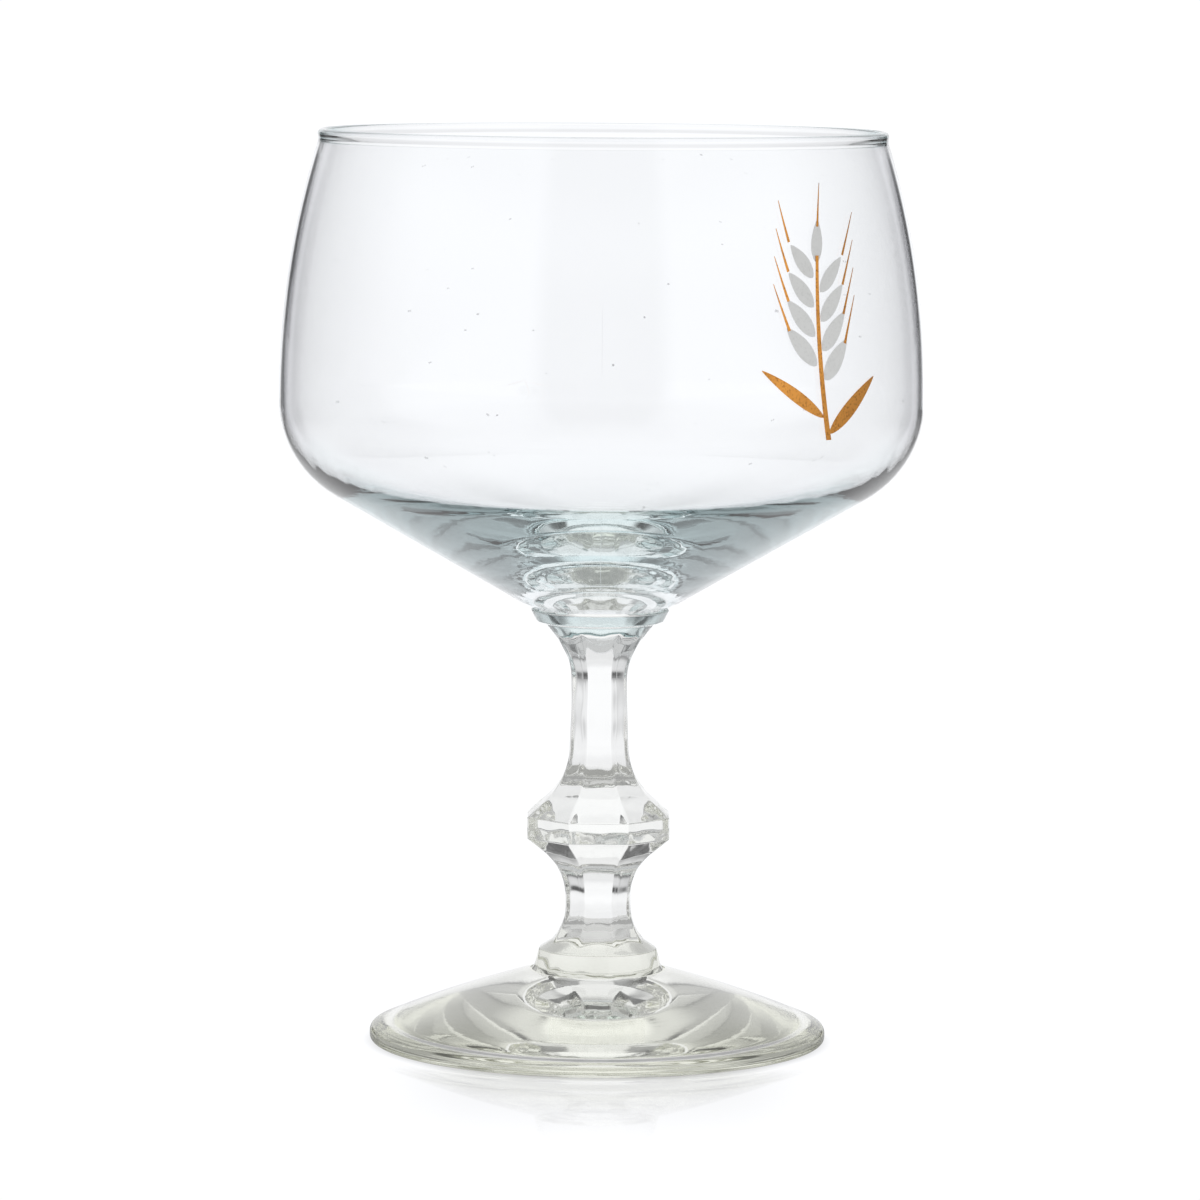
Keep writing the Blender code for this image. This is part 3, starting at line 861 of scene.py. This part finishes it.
kernel = film_strip("kernel", KERNEL_LENGTH, KERNEL_WIDTH, leaf_shape, rows=20, columns=8)
print_colour(
    "print_kernels", kernel, grey_ink, "grey_print",
    Count=KERNELS, Start=EAR_START, Pitch=KERNEL_PITCH, Lean=KERNEL_LEAN, Offset=KERNEL_OFFSET,
    Upright_Last=1.0, Taper=KERNEL_TAPER, Lift=FILM,
)
awn = film_strip("awn", AWN_LENGTH, AWN_WIDTH, lambda t: 1.0 - 0.8 * t, rows=20, columns=2)
print_colour(
    "print_awns", awn, gold_ink, "gold_print",
    Count=KERNELS, Pitch=KERNEL_PITCH, Lean=0.5 * KERNEL_LEAN,
    Start=EAR_START + KERNEL_LENGTH * math.cos(KERNEL_LEAN) * AWN_FOOT,
    Offset=KERNEL_OFFSET + KERNEL_LENGTH * math.sin(KERNEL_LEAN) * AWN_FOOT,
    Upright_Last=1.0, Taper=AWN_TAPER, Lift=3.0 * FILM,
)
stalk = film_strip(
    "stalk", STALK_LENGTH, STALK_WIDTH, lambda t: 1.0 - 0.45 * t, rows=60, columns=4
)
print_colour(
    "print_stalk", stalk, gold_ink, "gold_print",
    Count=1, Start=STALK_START, Pitch=0.0, Lean=0.0, Offset=0.0,
    Upright_Last=0.0, Taper=0.0, Lift=5.0 * FILM,
)
leaf = film_strip("leaf", LEAF_LENGTH, LEAF_WIDTH, leaf_shape, rows=28, columns=6)
print_colour(
    "print_leaves", leaf, gold_ink, "gold_print",
    Count=2, Start=LEAF_START, Pitch=LEAF_PITCH, Lean=LEAF_LEAN, Offset=LEAF_OFFSET,
    Upright_Last=0.0, Taper=LEAF_TAPER, Lift=3.0 * FILM,
)

# The floor is a white sheet that glows, with a faint gloss in front of the foot. Its light and
# shade
# are painted into the glow: a painted bright strip runs back from the glass, and painted shade dims
# the sheet to its sides. Rays that have come through the glass find less of the strip, while the
# camera sees the sheet around the glass as white.
FLOOR_RADIUS = 4.0
FLOOR_DROP = 0.2 * MM
FLOOR_SIDES = 96
CAMERA_AWAY = 1.011
SHEET_WHITE = (0.98, 0.985, 1.0, 1.0)
SHEET_LEVEL = 1.05
SHEET_EDGE = 19.0
SHEET_EDGE_INNER = 14.0
STRIP_EDGE = 0.15
STRIP_EDGE_INNER = 0.108
STRIP_THROUGH_GLASS = 0.5
SIDE_LEVEL = 0.45
NEAR_LEVEL = 0.46
NEAR_MORE_SEEN = 0.04
FLAG_SHADOW_FALL = 0.3
FRONT_LEVEL = 0.52
SOFT_BOX_POOL_LEVEL = 0.25
SHADE_LEVEL = 0.65
SHADE_MIDDLE = 0.08
CLOSE_FALL = 0.08
ABREAST_FALL = 0.4
GLOSS_SHARE = 0.4
GLOSS_ROUGHNESS = 0.01


def ease_angle(tree, value, start, end):
    """A smooth step for an angle, with its two ends in degrees."""
    return ease(tree, value, math.radians(start), math.radians(end))


def between(tree, share, first, second):
    """The number between two numbers, as sockets or plain values, by a share from 0 to 1."""
    return add_node(tree, "ShaderNodeMix", _0=share, _2=first, _3=second).outputs[0]


floor_mesh = bpy.data.meshes.new("floor")
form = bmesh.new()
bmesh.ops.create_circle(form, cap_ends=True, radius=FLOOR_RADIUS, segments=FLOOR_SIDES)
bmesh.ops.translate(form, verts=form.verts, vec=(0.0, 0.0, -FLOOR_DROP))
form.to_mesh(floor_mesh)
form.free()
floor = bpy.data.objects.new("floor", floor_mesh)
bpy.context.scene.collection.objects.link(floor)
floor_material = bpy.data.materials.new("white sheet")
floor_material.use_nodes = True
sheet = floor_material.node_tree
sheet.nodes.remove(sheet.nodes["Principled BSDF"])
place = add_node(sheet, "ShaderNodeTexCoord").outputs["Object"]
across = add_node(sheet, "ShaderNodeSeparateXYZ", Vector=place).outputs
reach = add_node(
    sheet, "ShaderNodeVectorMath", {"operation": "LENGTH"}, _0=place
).outputs["Value"]
aside = maths(sheet, "ABSOLUTE", across["X"])
turn = maths(sheet, "ABSOLUTE", maths(sheet, "ARCTAN2", across["X"], across["Y"]))
toward = maths(sheet, "SUBTRACT", math.pi, turn)
spread = maths(sheet, "DIVIDE", aside, maths(sheet, "ADD", across["Y"], CAMERA_AWAY))
seen = add_node(sheet, "ShaderNodeLightPath").outputs["Is Camera Ray"]
through_glass = maths(sheet, "SUBTRACT", 1.0, seen)
# Painted light and shade: the strip's glow, weaker for rays that came through the glass, and a side
# level brighter near the glass.
strip = maths(sheet, "MULTIPLY_ADD", seen, 1.0 - STRIP_THROUGH_GLASS, STRIP_THROUGH_GLASS)
strip = maths(sheet, "MULTIPLY", strip, ease(sheet, spread, STRIP_EDGE, STRIP_EDGE_INNER))
lit = maths(sheet, "MAXIMUM", strip, ease_angle(sheet, turn, SHEET_EDGE, SHEET_EDGE_INNER))
near = maths(sheet, "MULTIPLY_ADD", seen, NEAR_MORE_SEEN, NEAR_LEVEL)
side_level = maths(sheet, "MULTIPLY", ease(sheet, reach, 0.7, 0.12), near)
side_level = maths(sheet, "ADD", side_level, SIDE_LEVEL)
# Painted shadow of the dark flags, far out on each side of the strip.
flag = maths(
    sheet, "MULTIPLY", ease_angle(sheet, turn, 32.0, 25.0), ease(sheet, reach, 0.6, 1.1)
)
side_level = maths(sheet, "MULTIPLY_ADD", flag, -FLAG_SHADOW_FALL, side_level)
back_level = between(sheet, lit, side_level, SHEET_LEVEL)
# Painted pools of light from the soft boxes on the floor in front of the glass.
soft_box_pool = maths(
    sheet, "MULTIPLY", ease_angle(sheet, toward, 18.0, 30.0), ease_angle(sheet, toward, 100.0, 60.0)
)
front_level = maths(sheet, "MULTIPLY_ADD", soft_box_pool, SOFT_BOX_POOL_LEVEL, FRONT_LEVEL)
front = ease(sheet, across["Y"], -0.135, -0.45)
level = between(sheet, front, back_level, front_level)
# Painted contact shadow under the foot, a little lighter in its middle.
shade = ease(sheet, reach, 35.0 * MM, 39.5 * MM)
shade = maths(sheet, "MULTIPLY_ADD", shade, 1.0 - SHADE_LEVEL, SHADE_LEVEL)
middle = ease(sheet, reach, 34.0 * MM, 20.0 * MM)
shade = maths(sheet, "MULTIPLY_ADD", middle, SHADE_MIDDLE, shade)
level = maths(sheet, "MULTIPLY", level, shade)
# Painted shade near the glass, for rays that came through it.
close = maths(sheet, "MULTIPLY", ease(sheet, reach, 0.2, 0.1), through_glass)
level = maths(sheet, "MULTIPLY", level, maths(sheet, "MULTIPLY_ADD", close, -CLOSE_FALL, 1.0))
# Painted shade beside the foot, for rays that came through the glass.
abreast = maths(
    sheet, "MULTIPLY", ease_angle(sheet, turn, 35.0, 60.0), ease(sheet, reach, 0.12, 0.06)
)
abreast = maths(sheet, "MULTIPLY", abreast, through_glass)
level = maths(sheet, "MULTIPLY", level, maths(sheet, "MULTIPLY_ADD", abreast, -ABREAST_FALL, 1.0))
glow = add_node(sheet, "ShaderNodeEmission", Color=SHEET_WHITE, Strength=level)
gloss = add_node(sheet, "ShaderNodeBsdfGlossy", Roughness=GLOSS_ROUGHNESS)
shine = maths(
    sheet, "MULTIPLY", ease(sheet, reach, 0.1, 0.045), ease(sheet, across["Y"], -0.02, -0.036)
)
shine = maths(sheet, "MULTIPLY", shine, ease(sheet, aside, 0.04, 0.018))
shine = maths(sheet, "MULTIPLY", shine, GLOSS_SHARE)
mix = add_node(
    sheet, "ShaderNodeMixShader", _0=shine, _1=glow.outputs[0], _2=gloss.outputs[0]
)
sheet.links.new(mix.outputs[0], sheet.nodes["Material Output"].inputs["Surface"])
floor.data.materials.append(floor_material)

# The light comes from a narrow, tall white sheet behind the glass with a dark flag low on each side
# of it, from a soft box on each side in front, and from a pale ceiling.
SHEET_FALL = 0.15
ROOM_LEVEL = 0.12
ROOM_LOW = 0.3
WASH_LEVEL = 0.35
FLAG_FALL = 0.34
SOFT_BOX_LEVEL = 0.5
CEILING_LEVEL = 0.48
world = bpy.data.worlds.new("studio")
bpy.context.scene.world = world
world.use_nodes = True
studio = world.node_tree
studio.nodes.clear()
way = add_node(studio, "ShaderNodeTexCoord").outputs["Generated"]
along = add_node(studio, "ShaderNodeSeparateXYZ", Vector=way).outputs
behind = maths(studio, "ABSOLUTE", maths(studio, "ARCTAN2", along["X"], along["Y"]))
ahead = maths(studio, "SUBTRACT", math.pi, behind)
rise = maths(studio, "ARCSINE", along["Z"])
back_sheet = maths(
    studio, "MULTIPLY",
    ease_angle(studio, behind, SHEET_EDGE, SHEET_EDGE_INNER),
    ease_angle(studio, rise, 62.0, 50.0),
)
sheet_level = ease_angle(studio, rise, 6.0, 16.0)
sheet_level = maths(studio, "MULTIPLY_ADD", sheet_level, -SHEET_FALL, SHEET_LEVEL)
wash = maths(
    studio, "MULTIPLY", ease_angle(studio, behind, 46.0, 24.0), ease_angle(studio, rise, 40.0, 22.0)
)
wash = maths(studio, "MULTIPLY", wash, ease_angle(studio, rise, 2.0, 10.0))
flag = maths(
    studio, "MULTIPLY", ease_angle(studio, behind, 32.0, 26.0), ease_angle(studio, rise, 7.0, 3.0)
)
soft_box = maths(
    studio, "MULTIPLY",
    ease_angle(studio, ahead, 18.0, 28.0),
    ease_angle(studio, ahead, 108.0, 70.0),
)
soft_box = maths(studio, "MULTIPLY", soft_box, ease_angle(studio, rise, 65.0, 40.0))
ceiling = ease_angle(studio, rise, 44.0, 64.0)
room = ease_angle(studio, rise, 30.0, 18.0)
room = maths(studio, "MULTIPLY_ADD", room, ROOM_LOW, ROOM_LEVEL)
room = maths(studio, "MULTIPLY_ADD", wash, WASH_LEVEL, room)
room = maths(studio, "MULTIPLY_ADD", flag, -FLAG_FALL, room)
room = maths(studio, "MULTIPLY_ADD", soft_box, SOFT_BOX_LEVEL, room)
room = maths(studio, "MULTIPLY_ADD", ceiling, CEILING_LEVEL, room)
room = between(studio, back_sheet, room, sheet_level)
background = add_node(studio, "ShaderNodeBackground", Color=SHEET_WHITE, Strength=room)
add_node(studio, "ShaderNodeOutputWorld", Surface=background.outputs[0])

# The camera stands a metre away and a little above the rim, and looks down at the stem through a
# long lens.
LENS = 185.5
SENSOR = 36.0
CAMERA_SPOT = (-0.00077, -CAMERA_AWAY, 0.1765)
CAMERA_TILT = math.radians(84.15)
CAMERA_ROLL = math.radians(-0.41)
MOST_BOUNCES = 32
GLOSSY_BOUNCES = 24
lens = bpy.data.cameras.new("camera")
lens.sensor_width = SENSOR
lens.lens = LENS
camera = bpy.data.objects.new("camera", lens)
camera.location = CAMERA_SPOT
camera.rotation_euler = (CAMERA_TILT, CAMERA_ROLL, 0.0)
bpy.context.scene.collection.objects.link(camera)
bpy.context.scene.camera = camera

scene = bpy.context.scene
scene.view_settings.view_transform = "Standard"
scene.cycles.max_bounces = MOST_BOUNCES
scene.cycles.transmission_bounces = MOST_BOUNCES
scene.cycles.glossy_bounces = GLOSSY_BOUNCES
scene.cycles.transparent_max_bounces = MOST_BOUNCES
